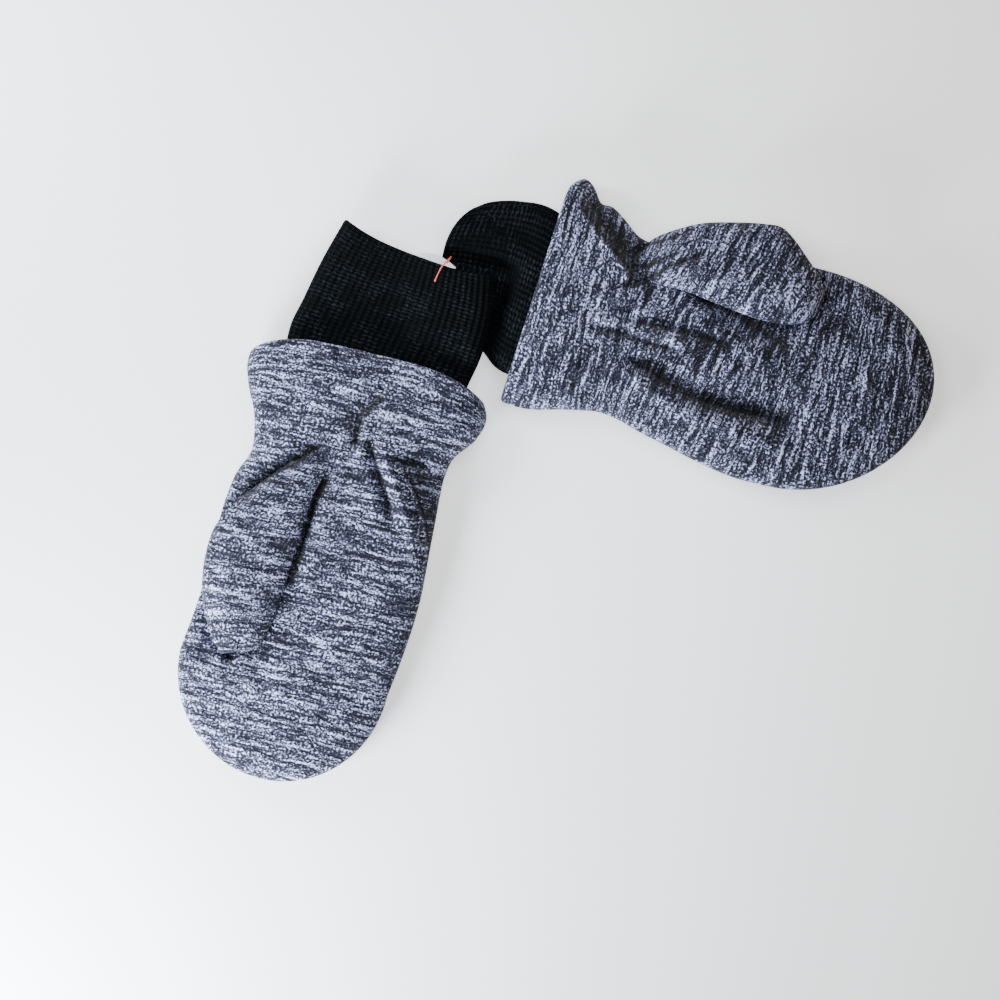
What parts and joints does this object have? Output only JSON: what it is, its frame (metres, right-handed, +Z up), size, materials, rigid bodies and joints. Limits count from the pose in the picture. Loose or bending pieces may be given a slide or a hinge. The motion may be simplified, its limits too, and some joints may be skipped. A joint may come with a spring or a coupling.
{
  "type": "pair of baby mittens",
  "caption": "Soft rounded mittens laid palm up, each with a thumb folded over its palm, a gathered flared wrist and a long ribbed knit cuff, one cuff lying across the other.",
  "frame": {"origin": "centre of the pair's bounding box, on the surface the mittens lie on", "axes": "+Z up, out of the palms; +X to the right and +Y away, as the laid pair is seen from above with mitten a at the left, its fingertips towards -Y, and mitten b at the right, its fingertips towards +X"},
  "size_m": [0.2421, 0.1936, 0.0201],
  "materials": {
    "heather_fleece": "brushed knit fleece, marled grey",
    "black_rib_knit": "ribbed knit, matte",
    "white_satin": "satin ribbon"
  },
  "bodies": {
    "root": {"palm_a": "heather_fleece", "back_a": "heather_fleece", "thumb_outer_a": "heather_fleece", "thumb_inner_a": "heather_fleece", "cuff_a": "black_rib_knit", "care_label_a": "white_satin", "palm_b": "heather_fleece", "back_b": "heather_fleece", "thumb_outer_b": "heather_fleece", "thumb_inner_b": "heather_fleece", "cuff_b": "black_rib_knit"}
  },
  "joints": []
}
